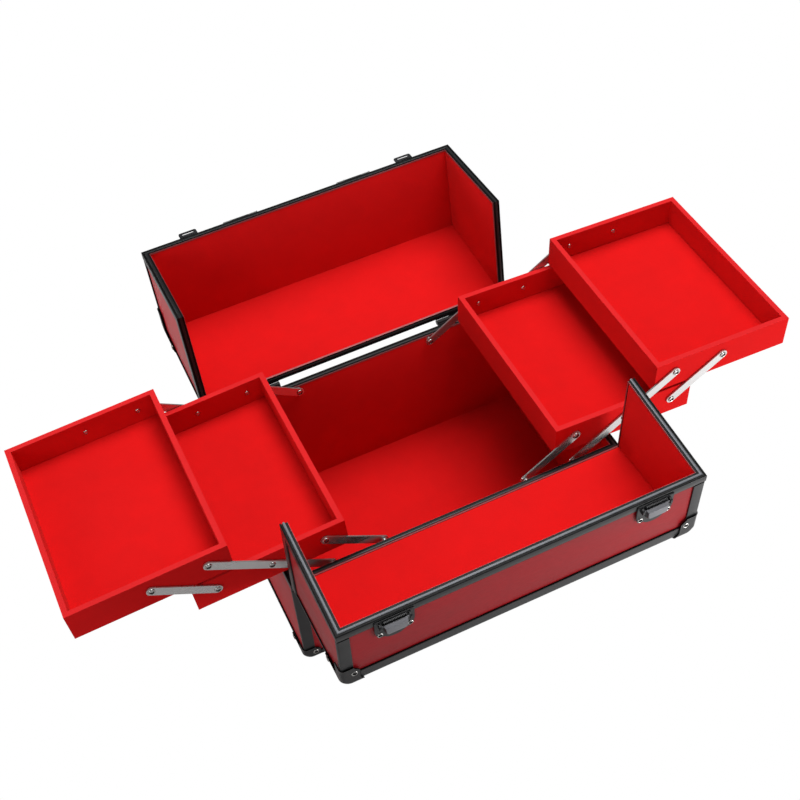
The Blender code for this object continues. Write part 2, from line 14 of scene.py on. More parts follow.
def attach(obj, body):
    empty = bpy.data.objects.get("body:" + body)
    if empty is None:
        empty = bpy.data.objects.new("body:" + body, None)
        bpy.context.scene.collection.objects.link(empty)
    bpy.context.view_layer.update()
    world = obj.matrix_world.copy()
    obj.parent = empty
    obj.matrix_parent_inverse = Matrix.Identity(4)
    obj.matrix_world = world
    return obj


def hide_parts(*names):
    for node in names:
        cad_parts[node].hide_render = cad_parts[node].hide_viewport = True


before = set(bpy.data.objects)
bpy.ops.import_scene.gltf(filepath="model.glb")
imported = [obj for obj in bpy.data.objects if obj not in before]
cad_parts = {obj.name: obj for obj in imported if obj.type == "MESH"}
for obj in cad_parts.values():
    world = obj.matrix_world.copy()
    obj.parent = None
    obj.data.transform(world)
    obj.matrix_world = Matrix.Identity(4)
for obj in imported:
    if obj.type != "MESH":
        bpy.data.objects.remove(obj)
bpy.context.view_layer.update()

MM = 0.001

# The case, as in part.py
HALF_LENGTH = 182.5
HALF_DEPTH = 122.5
BODY_HEIGHT = 155.5
BODY_TAPER = 9.0
FRONT_DEPTH = 115.0
BACK_DEPTH = 130.0
LID_HEIGHT = 125.5
LID_LEAN = 18.0
GAP = 0.3
BOARD = 5.0
BOARD_INSET = 1.5
BOARD_INNER = BOARD_INSET + BOARD
FLANGE = 1.2
RIM_SKIRT = 12.0
RIM_LINER = 2.6
EDGE_FLANGE = 11.0
EDGE_RADIUS = 6.0
EDGE_CHAMFER = 4.5
LID_EDGE_FLANGE = 24.0
LID_EDGE_RADIUS = 10.0
LID_EDGE_CHAMFER = 7.0
CAP_ALONG = 21.0
CAP_DEEP = 40.0
CAP_NARROW = 12.4
CAP_WALL = 1.1
BODY_CAP_RISE = 23.0
LID_CAP_RISE = 39.0
POST_WIDTH = 12.0
POST_RETURN = 4.0
BASE_LIFT = FLANGE + GAP
HINGE_OUT = 4.0
HINGE_RISE = 0.2
HINGE_X = 118.0
HINGE_SCREW_STEP = 17.0
HINGE_SCREW_RISE = 7.2
LID_OPEN = 94.6
LID_BASE = HINGE_RISE

# Trays and arms
TRAY_LENGTH = 157.4
TRAY_FACE = 108.8
TRAY_HEIGHT = 36.0
TRAY_WALL = 5.5
TRAY_FLOOR = 4.0
TRAY_PIVOT_HEIGHT = 21.0
FIRST_PIVOT = 22.5
PIVOT_STEP = 55.7
TRAY_DROOP = math.radians(2.6)
ARM_RUN = 56.0
ARM_RISE = 39.4
ARM_WIDTH = 10.0
ARM_INNER = TRAY_FACE + 0.5
ARM_OUTER = ARM_INNER + 1.5
ARM_REACH = math.hypot(ARM_RUN, ARM_RISE)
ARM_TILT = math.atan2(ARM_RISE, ARM_RUN)
BODY_PIVOT_X = 134.6
BODY_PIVOT_Z = 147.0
RIVET_HEAD = 3.6
RIVET_SHANK = 1.9
SPACER_RADIUS = 3.0

# Latches, strikes and handle
LATCH_X = 129.0
STRIKE_X = 128.0
LEVER_AXIS_IN = 9.5
LEVER_AXIS_UP = 3.3
LEVER_CROWN = 5.45
LEVER_LUG = 13.0 + GAP
LUG_WIDTH = 2.0
TOOTH_PITCH = 1.45
BRACKET_X = 67.5
EAR_SPACING = 30.6
EAR_WIDTH = 9.0
HANDLE_AXIS_IN = 9.0
HANDLE_AXIS_UP = 6.0
HANDLE_DROP = 40.0
HANDLE_BEND = 15.0
GRIP_HALF = 42.0
GRIP_RADIUS = 3.9
RIB_PITCH = 6.0

# Linings
LINING = 0.9
LINING_FIT = 0.2
LINING_SEAM = 0.15
LINING_SOFTNESS = 0.3


# Materials ----------------------------------------------------------------------------------

def finish(name, colour, roughness, metallic=0.0, vary=0.12, scale=60.0, stretch=(1, 1, 1),
           grain=900.0, bump=0.1, depth=0.0002, sheen=0.0, sheen_colour=(1, 1, 1),
           specular=0.5, shift=0.06):
    """A node material: broad and fine colour variation, uneven gloss and a fine relief."""
    made = bpy.data.materials.new(name)
    made.use_nodes = True
    made.diffuse_color = (*colour, 1.0)
    tree = made.node_tree
    shader = tree.nodes["Principled BSDF"]
    shader.inputs["Metallic"].default_value = metallic
    shader.inputs["Specular IOR Level"].default_value = specular
    shader.inputs["Sheen Weight"].default_value = sheen
    shader.inputs["Sheen Roughness"].default_value = 0.45
    shader.inputs["Sheen Tint"].default_value = (*sheen_colour, 1.0)

    def node(kind, **values):
        new = tree.nodes.new(kind)
        for key, value in values.items():
            new.inputs[key.replace("_", " ")].default_value = value
        return new

    place = tree.nodes.new("ShaderNodeTexCoord")
    mapping = node("ShaderNodeMapping", Scale=stretch)
    tree.links.new(place.outputs["Object"], mapping.inputs["Vector"])

    def noise(size, detail, vector):
        new = node("ShaderNodeTexNoise", Scale=size, Detail=detail, Roughness=0.55)
        tree.links.new(vector, new.inputs["Vector"])
        return new.outputs["Fac"]

    def ranged(value, low, high):
        new = node("ShaderNodeMapRange", From_Min=0.3, From_Max=0.7, To_Min=low, To_Max=high)
        tree.links.new(value, new.inputs["Value"])
        return new.outputs["Result"]

    broad = noise(scale, 4.0, mapping.outputs["Vector"])
    fine = noise(grain, 3.0, mapping.outputs["Vector"])
    both = tree.nodes.new("ShaderNodeMath")
    both.operation = "MULTIPLY_ADD"
    tree.links.new(fine, both.inputs[0])
    both.inputs[1].default_value = 0.55
    tree.links.new(broad, both.inputs[2])
    level = node("ShaderNodeMapRange", From_Min=0.45, From_Max=1.1, To_Min=0.0, To_Max=1.0)
    tree.links.new(both.outputs[0], level.inputs["Value"])
    mix = tree.nodes.new("ShaderNodeMix")
    mix.data_type = "RGBA"
    mix.inputs[6].default_value = (*[c * (1 - vary) for c in colour], 1.0)
    mix.inputs[7].default_value = (*[min(1.0, c * (1 + vary)) for c in colour], 1.0)
    tree.links.new(level.outputs["Result"], mix.inputs[0])
    tree.links.new(mix.outputs[2], shader.inputs["Base Color"])
    tree.links.new(ranged(broad, max(0.02, roughness - shift), min(1.0, roughness + shift)),
                   shader.inputs["Roughness"])
    relief = node("ShaderNodeBump", Strength=bump, Distance=depth)
    tree.links.new(fine, relief.inputs["Height"])
    tree.links.new(relief.outputs["Normal"], shader.inputs["Normal"])
    return made


FLOCK = finish("flocked_lining", (0.65, 0.0072, 0.0078), 0.92, vary=0.06, scale=38, grain=1300,
               bump=0.35, depth=0.0004, sheen=0.08, sheen_colour=(1.0, 0.16, 0.14),
               specular=0.06, shift=0.04)
# a lighter flock for the tops of the tray walls: a painted highlight
FLOCK_TOP_HIGHLIGHT = finish("flock_top_painted_highlight", (0.64, 0.016, 0.018), 0.9, vary=0.06, scale=60, grain=1300,
                    bump=0.3, depth=0.0003, sheen=0.15, sheen_colour=(1.0, 0.3, 0.3),
                    specular=0.08, shift=0.04)
LAMINATE = finish("laminate_long", (0.28, 0.008, 0.012), 0.4, 0.0, vary=0.25, scale=15,
                  stretch=(0.4, 1, 1), grain=420, bump=0.3, depth=0.0003, specular=0.12,
                  shift=0.07)
# a lighter copy of the laminate for the end panels: painted light where the side light falls
LAMINATE_END_LIT = finish("laminate_end_painted_light", (0.46, 0.018, 0.024), 0.4, 0.0, vary=0.25, scale=15,
                      stretch=(1, 0.4, 1), grain=420, bump=0.3, depth=0.0003, specular=0.12,
                      shift=0.07)
BLACK = finish("black_enamel", (0.003, 0.003, 0.0033), 0.42, vary=0.2, scale=90, grain=1400,
               bump=0.08, specular=0.12)
# the rim's top band: its light grey is a painted highlight on the black trim
SATIN_BAND_HIGHLIGHT = finish("rim_band_painted_highlight", (0.115, 0.12, 0.133), 0.42, 0.2, vary=0.08, scale=70,
               stretch=(0.3, 1, 1), grain=1600, bump=0.06, specular=0.25, shift=0.05)
CHARCOAL = finish("charcoal_frame", (0.011, 0.0115, 0.0122), 0.34, 0.0, vary=0.12, scale=60,
                  stretch=(0.4, 1, 1), grain=1500, bump=0.07, specular=0.27, shift=0.05)
CAP = finish("corner_protector", (0.011, 0.011, 0.0115), 0.34, 0.0, vary=0.15, scale=120,
             grain=1500, bump=0.1, specular=0.21)
BEAD = finish("lining_bead", (0.26, 0.05, 0.055), 0.4, 0.2, vary=0.08, scale=120, grain=1600,
              bump=0.05, specular=0.3)
STEEL = finish("polished_steel", (0.60, 0.595, 0.59), 0.28, 0.9, vary=0.04, scale=60,
               stretch=(0.12, 1, 1), grain=900, bump=0.01, shift=0.03)
RIVET = finish("rivet_steel", (0.50, 0.49, 0.47), 0.24, 1.0, vary=0.08, scale=300, grain=2500,
               bump=0.03)
# the hollows of the rivets: painted shade, near black
HOLLOW_SHADE = finish("rivet_hollow_painted_shade", (0.010, 0.010, 0.010), 0.5, 0.0, vary=0.2, scale=300, grain=2500,
              bump=0.05, specular=0.15)
HINGE = finish("hinge_black", (0.010, 0.010, 0.011), 0.38, 0.2, vary=0.2, scale=120, grain=1500,
               bump=0.1, specular=0.3)
LATCH = finish("latch_base", (0.012, 0.012, 0.013), 0.34, 0.1, vary=0.1, scale=130, grain=1800,
               bump=0.07, specular=0.25)
# pale grey for the latch cap's faces towards the light: a painted highlight; its other slopes take
# the dark latch base colour as painted shade
PALE_CAP_HIGHLIGHT = finish("latch_cap", (0.16, 0.16, 0.175), 0.45, 0.2, vary=0.08, scale=130, grain=1800,
               bump=0.06, specular=0.5)
ZINC = finish("grey_zinc", (0.22, 0.225, 0.22), 0.36, 0.4, vary=0.08, scale=130, grain=1800,
              bump=0.08)
STRIKE = finish("strike_dark", (0.03, 0.03, 0.033), 0.36, 0.5, vary=0.12, scale=130, grain=1800,
                bump=0.08)
GRIP = finish("handle_plastic", (0.012, 0.012, 0.013), 0.45, 0.0, vary=0.2, scale=220,
              grain=1100, bump=0.3, depth=0.0003, specular=0.45)


# Meshes -------------------------------------------------------------------------------------

def box(low, high):
    block = bmesh.new()
    bmesh.ops.create_cube(block, size=1.0)
    low, high = Vector(low), Vector(high)
    for vert in block.verts:
        vert.co = [low[i] + (vert.co[i] + 0.5) * (high[i] - low[i]) for i in range(3)]
    return block


def joined(*blocks):
    """Several bodies as one mesh."""
    base = bmesh.new()
    for block in blocks:
        mesh = bpy.data.meshes.new("scratch")
        block.to_mesh(mesh)
        block.free()
        base.from_mesh(mesh)
        bpy.data.meshes.remove(mesh)
    return base


def next_materials(block):
    """Each face takes the material after its own."""
    for face in block.faces:
        face.material_index += 1
    return block


def round_edges(block, width, steps=2, angle=30.0):
    sharp = [edge for edge in block.edges
             if len(edge.link_faces) == 2 and edge.calc_face_angle(0.0) > math.radians(angle)]
    bmesh.ops.bevel(block, geom=sharp, offset=width, segments=steps, profile=0.5,
                    affect="EDGES", clamp_overlap=True)
    return block


def fillet(points, radius=0.0, steps=4):
    """An outline with its corners rounded; a point's third number is its own radius."""
    out = []
    for i, here in enumerate(points):
        want = here[2] if len(here) > 2 else radius
        corner = Vector(here[:2])
        back = Vector(points[i - 1][:2]) - corner
        ahead = Vector(points[(i + 1) % len(points)][:2]) - corner
        angle = back.angle(ahead)
        if want <= 0 or angle > math.radians(176):
            out.append(tuple(corner))
            continue
        reach = min(want / math.tan(angle / 2), 0.49 * back.length, 0.49 * ahead.length)
        size = reach * math.tan(angle / 2)
        back.normalize()
        ahead.normalize()
        centre = corner + (back + ahead).normalized() * (size / math.sin(angle / 2))
        first = corner + back * reach - centre
        last = corner + ahead * reach - centre
        start = math.atan2(first.y, first.x)
        turn = (math.atan2(last.y, last.x) - start + math.pi) % math.tau - math.pi
        for k in range(steps + 1):
            bearing = start + turn * k / steps
            out.append((centre.x + size * math.cos(bearing), centre.y + size * math.sin(bearing)))
    return out


def loft(rings, closed_path=False, caps=True, finishes=None):
    """Rings of points joined in order; finishes gives each ring segment's material index."""
    block = bmesh.new()
    made = [[block.verts.new(point) for point in ring] for ring in rings]
    count = len(made[0])
    pairs = list(zip(made, made[1:] + made[:1])) if closed_path else list(zip(made, made[1:]))
    for ring, following in pairs:
        for i in range(count):
            j = (i + 1) % count
            face = block.faces.new((ring[i], ring[j], following[j], following[i]))
            if finishes:
                face.material_index = finishes[i]
    if caps and not closed_path:
        block.faces.new(made[0])
        block.faces.new(made[-1])
    return block


def prism(outline, place):
    return loft([[place(p, 0) for p in outline], [place(p, 1) for p in outline]])


def turned(profile, centre, axis, sides=24, finishes=None):
    """A round body: (radius, height) pairs about an axis, from a flat foot to a closed top."""
    axis = Vector(axis).normalized()
    side = axis.orthogonal().normalized()
    other = axis.cross(side)
    centre = Vector(centre)
    block = bmesh.new()
    rings = []
    for radius, height in profile:
        at = centre + axis * height
        if radius <= 0:
            rings.append([block.verts.new(at)])
            continue
        rings.append([block.verts.new(at + radius * (side * math.cos(math.tau * i / sides)
                                                     + other * math.sin(math.tau * i / sides)))
                      for i in range(sides)])
    for step, (ring, following) in enumerate(zip(rings, rings[1:])):
        for i in range(sides):
            j = (i + 1) % sides
            if len(following) == 1:
                face = block.faces.new((ring[i], ring[j], following[0]))
            else:
                face = block.faces.new((ring[i], ring[j], following[j], following[i]))
            if finishes:
                face.material_index = finishes[step]
    block.faces.new(rings[0])
    if len(rings[-1]) > 1:
        block.faces.new(rings[-1])
    return block


def tube_rivet(centre, axis, radius=3.2, height=0.9):
    """A tubular rivet's rolled ring, with its hollow (material 1) painted dark as shade."""
    profile = [(radius, -0.4), (radius, 0.2 * height), (0.96 * radius, 0.55 * height),
               (0.87 * radius, 0.88 * height), (0.77 * radius, height),
               (0.68 * radius, 0.85 * height), (0.62 * radius, 0.5 * height),
               (0.57 * radius, 0.0), (0, -0.1)]
    return turned(profile, centre, axis, 28, [0, 0, 0, 0, 0, 1, 1, 1])


def dome_rivet(centre, axis, radius=RIVET_HEAD, height=1.1):
    """A low head with a small dimple, painted dark as shade (material 1)."""
    profile = [(radius, -0.3), (radius, 0.18 * height), (0.94 * radius, 0.5 * height),
               (0.82 * radius, 0.8 * height), (0.66 * radius, 0.98 * height),
               (0.54 * radius, height), (0.46 * radius, 0.8 * height),
               (0.40 * radius, 0.4 * height), (0, 0.3 * height)]
    return turned(profile, centre, axis, 28, [0] * 6 + [1, 1])


def piece(name, block, finishes, body, place=None, shape=None, stands_for=(),
          soften=0.0, steps=2, sharp=32.0):
    """Make a visual piece that rides on a body; shape moves each point first."""
    for vert in block.verts:
        vert.co = Vector(shape(vert.co) if shape else vert.co) * MM
    if soften:
        round_edges(block, soften * MM, steps)
    if place is not None:
        block.transform(place)
    bmesh.ops.recalc_face_normals(block, faces=block.faces)
    mesh = bpy.data.meshes.new(name)
    block.to_mesh(mesh)
    block.free()
    for kind in finishes:
        mesh.materials.append(kind)
    mesh.shade_smooth()
    mesh.set_sharp_from_angle(angle=math.radians(sharp))
    made = bpy.data.objects.new(name, mesh)
    bpy.context.scene.collection.objects.link(made)
    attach(made, body)
    if stands_for:
        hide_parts(*stands_for)
    return made


# Places -------------------------------------------------------------------------------------

def at(x, y, z):
    return Matrix.Translation(Vector((x, y, z)) * MM)


def turn(degrees, axis):
    return Matrix.Rotation(math.radians(degrees), 4, axis)


AXIS_Y = HALF_DEPTH + HINGE_OUT
AXIS_Z = BODY_HEIGHT + HINGE_RISE
LIDS = {
    "front": (at(0, -AXIS_Y, AXIS_Z) @ turn(LID_OPEN, "X"), {"left": -1, "right": 1},
              FRONT_DEPTH),
    "back": (at(0, AXIS_Y, AXIS_Z) @ turn(180, "Z") @ turn(LID_OPEN, "X"),
             {"left": 1, "right": -1}, BACK_DEPTH),
}
CLOSED = {"front": at(0, -AXIS_Y, AXIS_Z), "back": at(0, AXIS_Y, AXIS_Z) @ turn(180, "Z")}
TURNS = ((-1, -1), (1, -1), (1, 1), (-1, 1))


def body_shape(point):
    x, y, z = point
    return (x, y * (1 - BODY_TAPER / HALF_DEPTH * (1 - z / BODY_HEIGHT)), z)


def leaning(depth):
    def shape(point):
        x, inwards, up = point
        lean = LID_LEAN * up / LID_HEIGHT * (1 - inwards / depth)
        return (x, HINGE_OUT + inwards + lean, LID_BASE + up)
    return shape


def on_front(x, from_seam, height):
    return (x, HINGE_OUT + FRONT_DEPTH - from_seam, LID_BASE + LID_HEIGHT + height)


def on_back(x, from_seam, height):
    return (x, HINGE_OUT + BACK_DEPTH - from_seam, LID_BASE + LID_HEIGHT + height)


def span(a, b):
    return (min(a, b), max(a, b))


def linkage(side, along, up):
    """A pivot of a tray's arms, from the long arm's pivot on the case along the droop."""
    cosine, sine = math.cos(TRAY_DROOP), math.sin(TRAY_DROOP)
    x = BODY_PIVOT_X + along * cosine + up * sine
    return (side * x, 0, BODY_PIVOT_Z - along * sine + up * cosine)


# Linings ------------------------------------------------------------------------------------

def lining_board(name, low, high, body, place, shape):
    return piece(name, box(low, high), [FLOCK], body, place, shape,
                 soften=LINING_SOFTNESS)


def line_body():
    x = HALF_LENGTH - BOARD_INNER
    y = HALF_DEPTH - BOARD_INNER
    foot = BASE_LIFT + BOARD_INSET + BOARD
    head = BODY_HEIGHT - RIM_LINER - LINING_FIT
    lining_board("body_floor_lining", (-x + LINING_FIT, -y + LINING_FIT, foot),
                 (x - LINING_FIT, y - LINING_FIT, foot + LINING), "case", None, body_shape)
    for name, side in (("left", -1), ("right", 1)):
        a, b = span(side * x, side * (x - LINING))
        lining_board(f"body_{name}_lining", (a, -y + LINING_FIT, foot + LINING),
                     (b, y - LINING_FIT, head), "case", None, body_shape)
    for name, side in (("front", -1), ("back", 1)):
        a, b = span(side * y, side * (y - LINING))
        lining_board(f"body_{name}_lining", (-x + LINING + LINING_SEAM, a, foot + LINING),
                     (x - LINING - LINING_SEAM, b, head), "case", None, body_shape)


def line_lid(name):
    place, ends, depth = LIDS[name]
    lid_shape = leaning(depth)
    body = f"{name}_lid"
    x = HALF_LENGTH - BOARD_INNER
    top = LID_HEIGHT - BOARD_INNER
    low = RIM_LINER + LINING_FIT
    edge = depth - GAP - low
    start = BOARD_INNER + LINING + LINING_SEAM
    lining_board(f"{name}_lid_outer_lining", (-x, BOARD_INNER, low),
                 (x, BOARD_INNER + LINING, top), body, place, lid_shape)
    lining_board(f"{name}_lid_top_lining", (-x, start, top - LINING), (x, edge, top), body,
                 place, lid_shape)
    for end, side in ends.items():
        a, b = span(side * x, side * (x - LINING))
        lining_board(f"{name}_lid_{end}_lining", (a, start, low),
                     (b, edge, top - LINING - LINING_SEAM), body, place, lid_shape)


# Frames -------------------------------------------------------------------------------------

# A rim's section: (inwards from the frame's face, away from the board's edge), with the
# material of the run to the next point: 0 black, 1 satin band, 2 bead, 3 charcoal. The satin
# band's light grey on the top flat is a painted highlight, and the black run at the skirt's
# foot is a painted shade line
RIM = [
    (7.8, 2.6, 2), (7.8, 1.0, 2), (7.7, 0.75, 2), (7.4, 0.7, 0), (7.25, 1.0, 0), (5.4, 1.0, 0),
    (5.2, 0.35, 1), (4.9, 0.12, 1), (4.0, 0.0, 1), (3.1, 0.12, 1), (2.8, 0.35, 0), (2.6, 0.9, 0),
    (1.7, 0.9, 0), (1.5, 0.4, 0), (1.2, 0.1, 0), (0.8, 0.0, 0), (0.4, 0.15, 0), (0.12, 0.5, 3),
    (0.0, 1.0, 3), (0.0, 10.0, 3), (0.1, 10.3, 0), (0.5, 10.5, 0), (0.45, 11.4, 0),
    (0.6, 12.0, 0), (1.2, 12.0, 0), (1.2, 1.6, 0), (6.8, 1.6, 0), (6.8, 2.6, 0),
]
# the front lid's rim carries the band's painted highlight; the body's and the back lid's rims are
# charcoal there instead
RIM_FINISHES = [BLACK, SATIN_BAND_HIGHLIGHT, BEAD, CHARCOAL]
BACK_RIM_FINISHES = [BLACK, CHARCOAL, BEAD, CHARCOAL]


def rim(corners):
    rings = [[corner(o, h) for o, h, _ in RIM] for corner in corners]
    return loft(rings, closed_path=True, finishes=[kind for _, _, kind in RIM])


def edge_section(radius, flange, chamfer):
    """A rounded edge bar: a quarter round with a raised lip along each flange."""
    arc = []
    for i in range(15):
        angle = math.pi / 2 * i / 14
        arc.append((radius * (1 - math.cos(angle)), radius * (1 - math.sin(angle))))
    lip = [(flange - 1.3, 0.0), (flange - 1.1, 0.3), (flange - 0.8, 0.05), (flange - 0.3, 0.05),
           (flange, 0.35), (flange, FLANGE)]
    points = lip + [(chamfer, FLANGE), (FLANGE, chamfer)]
    points += [(b, a) for a, b in reversed(lip)] + arc
    return points


EDGE = edge_section(EDGE_RADIUS, EDGE_FLANGE, EDGE_CHAMFER)
LID_EDGE = edge_section(LID_EDGE_RADIUS, LID_EDGE_FLANGE, LID_EDGE_CHAMFER)
# material along each run: 0 charcoal, 1 black for the lips
EDGE_KINDS = [1] * 5 + [0] * 3 + [1] * 5 + [0] * (len(EDGE) - 13)
GUARD_RADIUS = 8.5
BAR_END = 9.0  # the edge bars stop this far in, under the corner guards
POST_START = 15.0  # and the body's corner posts this far up
POST = fillet([(0, 0, 2.2), (POST_WIDTH, 0, 0.35), (POST_WIDTH, FLANGE, 0.35),
               (FLANGE, FLANGE), (FLANGE, POST_RETURN, 0.35), (0, POST_RETURN, 0.35)], steps=5)


def edge_bar(place):
    rings = [[place(p, end) for p in LID_EDGE] for end in (0, 1)]
    return loft(rings, finishes=EDGE_KINDS)


def corner_guard(place, high):
    """A rounded shell over a corner, with a long leg across the end face, a lobe round the
    rivet and a lip all round; place takes the distance inwards from each of the three faces."""
    along, deep = CAP_ALONG, CAP_DEEP
    steps = 36
    block = bmesh.new()
    grid = {}

    def eased(value, start, finish):
        ease = min(1.0, max(0.0, (value - start) / (finish - start)))
        return ease * ease * (3 - 2 * ease)

    def front_reach(h):
        """Flared at the foot, a lobe round the rivet, narrow at the top."""
        return (along - 3.5 * eased(h, 0.12 * high, 0.34 * high)
                - 5.5 * eased(h, 0.74 * high, 0.97 * high))

    def end_reach(h):
        tip = deep - 0.9 * max(0.0, h - 5.5) ** 1.4
        return tip + (CAP_NARROW - tip) * eased(h, 9.5, 13.0)

    def rounded(o, p, h, grow):
        radius = 9.5 - 6.3 * eased(h, 3.5, 15.0)
        spot = Vector((o, p, h))
        core = Vector((max(o, radius), max(p, radius), max(h, GUARD_RADIUS)))
        away = spot - core
        away = Vector((away.x / radius, away.y / radius, away.z / GUARD_RADIUS))
        away.normalize()
        return core + Vector((away.x * (radius + grow), away.y * (radius + grow),
                              away.z * (GUARD_RADIUS + grow)))

    def layer(grow):
        faces = (
            lambda s, t: (0.0, s * end_reach(t * high), t * high),
            lambda s, t: (s * front_reach(t * high), 0.0, t * high),
            lambda s, t: (s * front_reach(0), t * deep, 0.0),
        )
        for kind, spot in enumerate(faces):
            for i in range(steps + 1):
                for j in range(steps + 1):
                    s, t = i / steps, j / steps
                    lip = max(0.0, 1 - min(1 - s, 1 - t) * steps / 1.6) * 0.25 if grow > 1 else 0
                    where = rounded(*spot(s, t), grow - 0.15 + lip if grow > 1 else grow)
                    grid[grow, kind, i, j] = block.verts.new(where)
            for i in range(steps):
                for j in range(steps):
                    face = block.faces.new([grid[grow, kind, i + a, j + b]
                                            for a, b in ((0, 0), (1, 0), (1, 1), (0, 1))])
                    # the lip's last cells round the shell are a deeper black: the real edge,
                    # darkened as a painted shadow line
                    shadow_line_cell = i == steps - 1 or j == steps - 1
                    face.material_index = 1 if shadow_line_cell and grow > 1 else 0

    outer, inner = GAP + CAP_WALL, GAP
    layer(outer)
    layer(inner)
    for kind in range(3):
        for i in range(steps):
            for a, b in (((steps, i), (steps, i + 1)), ((i, steps), (i + 1, steps))):
                # the cut edge takes the same deeper black, as part of the painted shadow line
                edge = block.faces.new([grid[outer, kind, *a], grid[outer, kind, *b],
                                        grid[inner, kind, *b], grid[inner, kind, *a]])
                edge.material_index = 1
    bmesh.ops.remove_doubles(block, verts=block.verts, dist=0.0005)
    for vert in block.verts:
        vert.co = place(*vert.co)
    return block


def guard_rivets(place, height):
    """Where a corner's rivets sit: (centre, outward direction) on each face."""
    out = []
    for spot, away in (((11.8, 0, height), (11.8, -1, height)), ((0, 33.0, 5.8), (-1, 33.0, 5.8))):
        centre, beyond = Vector(place(*spot)), Vector(place(*away))
        direction = (beyond - centre).normalized()
        out.append((centre + direction * (GAP + 0.6), direction))
    return out


def build_body_frame():
    def rim_corner(sx, sy):
        return lambda o, h: (sx * (HALF_LENGTH - o), sy * (HALF_DEPTH - o), BODY_HEIGHT - h)

    piece("body_rim_trim", rim([rim_corner(*t) for t in TURNS]), BACK_RIM_FINISHES, "case",
          shape=body_shape, stands_for=["body_top_rim"])

    def foot_corner(sx, sy):
        return lambda o, h: (sx * (HALF_LENGTH - o), sy * (HALF_DEPTH - o), BASE_LIFT + h)

    feet = []
    for (ax, ay), (bx, by) in zip(TURNS, TURNS[1:] + TURNS[:1]):
        dx, dy = (bx - ax) / 2 * BAR_END, (by - ay) / 2 * BAR_END
        rings = []
        for (sx, sy), way in (((ax, ay), 1), ((bx, by), -1)):
            ring = []
            for o, h in EDGE:
                x, y, z = foot_corner(sx, sy)(o, h)
                if dx:
                    x = sx * HALF_LENGTH + way * dx
                else:
                    y = sy * HALF_DEPTH + way * dy
                ring.append((x, y, z))
            rings.append(ring)
        feet.append(loft(rings, finishes=EDGE_KINDS))
    low, high = BASE_LIFT + POST_START, BODY_HEIGHT - RIM_SKIRT - GAP
    posts = [prism(POST, lambda p, end, sx=sx, sy=sy: (
        sx * (HALF_LENGTH - p[0]), sy * (HALF_DEPTH - p[1]), (low, high)[end]))
        for sx, sy in TURNS]
    piece("body_edge_trim", joined(*feet, *posts), [CHARCOAL, BLACK], "case", shape=body_shape,
          stands_for=["body_edge_frame"])
    for sx, sy in TURNS:
        end = ("front" if sy < 0 else "back") + ("_left" if sx < 0 else "_right")

        def place(o, p, h, sx=sx, sy=sy):
            return (sx * (HALF_LENGTH - o), sy * (HALF_DEPTH - p), BASE_LIFT + h)

        piece(f"body_corner_guard_{end}", corner_guard(place, BODY_CAP_RISE), [CAP, BLACK], "case",
              shape=body_shape, stands_for=[f"body_corner_cap_{end}"])
        studs = [tube_rivet(*spot) for spot in guard_rivets(
            lambda *d, place=place: body_shape(place(*d)), 0.62 * BODY_CAP_RISE)]
        piece(f"body_corner_rivets_{end}", joined(*studs), [RIVET, HOLLOW_SHADE], "case")


def build_lid_frame(name):
    place, ends, depth = LIDS[name]
    lid_shape = leaning(depth)
    seam = depth - GAP
    body = f"{name}_lid"

    def seam_corner(side):
        return lambda o, h: (side * (HALF_LENGTH - o), seam - h, LID_HEIGHT - o)

    def tip_corner(side):
        return lambda o, h: (side * (HALF_LENGTH - o), seam - h, h)

    def foot_corner(side):
        return lambda o, h: (side * (HALF_LENGTH - o), o, h)

    run = [seam_corner(-1), seam_corner(1), tip_corner(1), foot_corner(1), foot_corner(-1),
           tip_corner(-1)]
    piece(f"{name}_lid_rim_trim", rim(run),
          RIM_FINISHES if name == "front" else BACK_RIM_FINISHES, body, place, lid_shape,
          [f"{name}_lid_rim"])
    bars = [edge_bar(lambda p, end: (
        (BAR_END - HALF_LENGTH, HALF_LENGTH - BAR_END)[end], p[0], LID_HEIGHT - p[1]))]
    for side in (-1, 1):
        bars.append(prism(POST, lambda p, end, side=side: (
            side * (HALF_LENGTH - p[0]), p[1],
            (RIM_SKIRT + GAP, LID_HEIGHT - LID_EDGE_FLANGE + 2)[end])))
        bars.append(prism(POST, lambda p, end, side=side: (
            side * (HALF_LENGTH - p[0]), (LID_EDGE_FLANGE - 2, seam - RIM_SKIRT - GAP)[end],
            LID_HEIGHT - p[1])))
    piece(f"{name}_lid_edge_trim", joined(*bars), [CHARCOAL, BLACK], body, place, lid_shape,
          [f"{name}_lid_edge_frame"])
    for end, side in ends.items():
        def cap_place(o, p, h, side=side):
            return (side * (HALF_LENGTH - o), h, LID_HEIGHT - p)

        piece(f"{name}_lid_corner_guard_{end}", corner_guard(cap_place, LID_CAP_RISE),
              [CAP, BLACK], body, place, lid_shape, [f"{name}_lid_corner_cap_{end}"])
        studs = [tube_rivet(*spot) for spot in guard_rivets(
            lambda *d, cap_place=cap_place: lid_shape(cap_place(*d)),
            0.66 * LID_CAP_RISE)]
        piece(f"{name}_lid_corner_rivets_{end}", joined(*studs), [RIVET, HOLLOW_SHADE], body, place)


def build_hinge_rivets():
    for name in ("front", "back"):
        open_place, ends, _ = LIDS[name]
        face = HINGE_OUT - GAP - FLANGE
        for end, side in ends.items():
            for leaf, body, place, z in (
                    ("body", "case", CLOSED[name], -HINGE_SCREW_RISE),
                    ("lid", f"{name}_lid", open_place, HINGE_SCREW_RISE)):
                studs = [dome_rivet((side * HINGE_X + step, face, z), (0, -1, 0), 2.3, 0.8)
                         for step in (-HINGE_SCREW_STEP, 0, HINGE_SCREW_STEP)]
                piece(f"{name}_hinge_{end}_{leaf}_rivets", joined(*studs), [HINGE, BLACK], body,
                      place)


